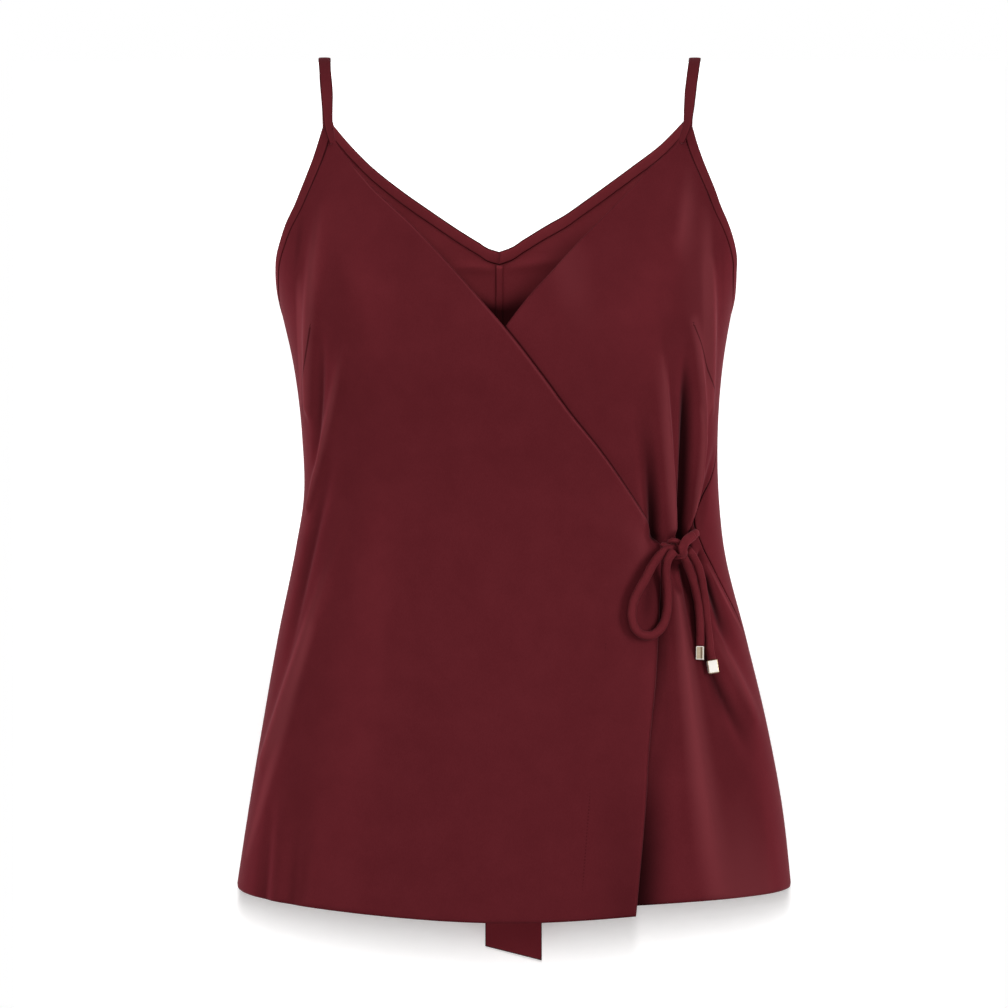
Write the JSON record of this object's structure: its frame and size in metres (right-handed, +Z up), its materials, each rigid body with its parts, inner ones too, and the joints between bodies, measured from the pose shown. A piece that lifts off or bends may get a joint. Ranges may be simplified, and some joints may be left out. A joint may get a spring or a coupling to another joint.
{
  "type": "wrap top",
  "caption": "Sleeveless V-neck wrap top filled out as if worn, on narrow shoulder straps, tied with a cord bow at the wearer's left side, its ties tipped with metal.",
  "frame": {"origin": "midway between the highest points of the two shoulder straps, where the wearer's shoulders hold the top up", "axes": "+Z up, the front faces -Y, +X towards the wearer's left"},
  "size_m": [0.4153, 0.2636, 0.687],
  "materials": {
    "crepe": "wine-red satin-back crepe, matt side out with a soft sheen",
    "trim": "the same crepe, folded into bindings and straps",
    "rouleau": "the same crepe, sewn into a round cord",
    "tip_metal": "polished pale gold"
  },
  "bodies": {
    "root": {"front_over": "crepe", "front_under": "crepe", "back_right": "crepe", "back_left": "crepe", "neck_band_right": "trim", "neck_band_left": "trim", "binding_right": "trim", "binding_left": "trim", "strap_right": "trim", "strap_left": "trim", "tie_side": "rouleau", "tie_front": "rouleau", "knot": "rouleau", "loop": "rouleau", "tail_1": "rouleau", "tail_2": "rouleau", "tip_1": "tip_metal", "tip_2": "tip_metal", "sash": "crepe"}
  },
  "joints": []
}
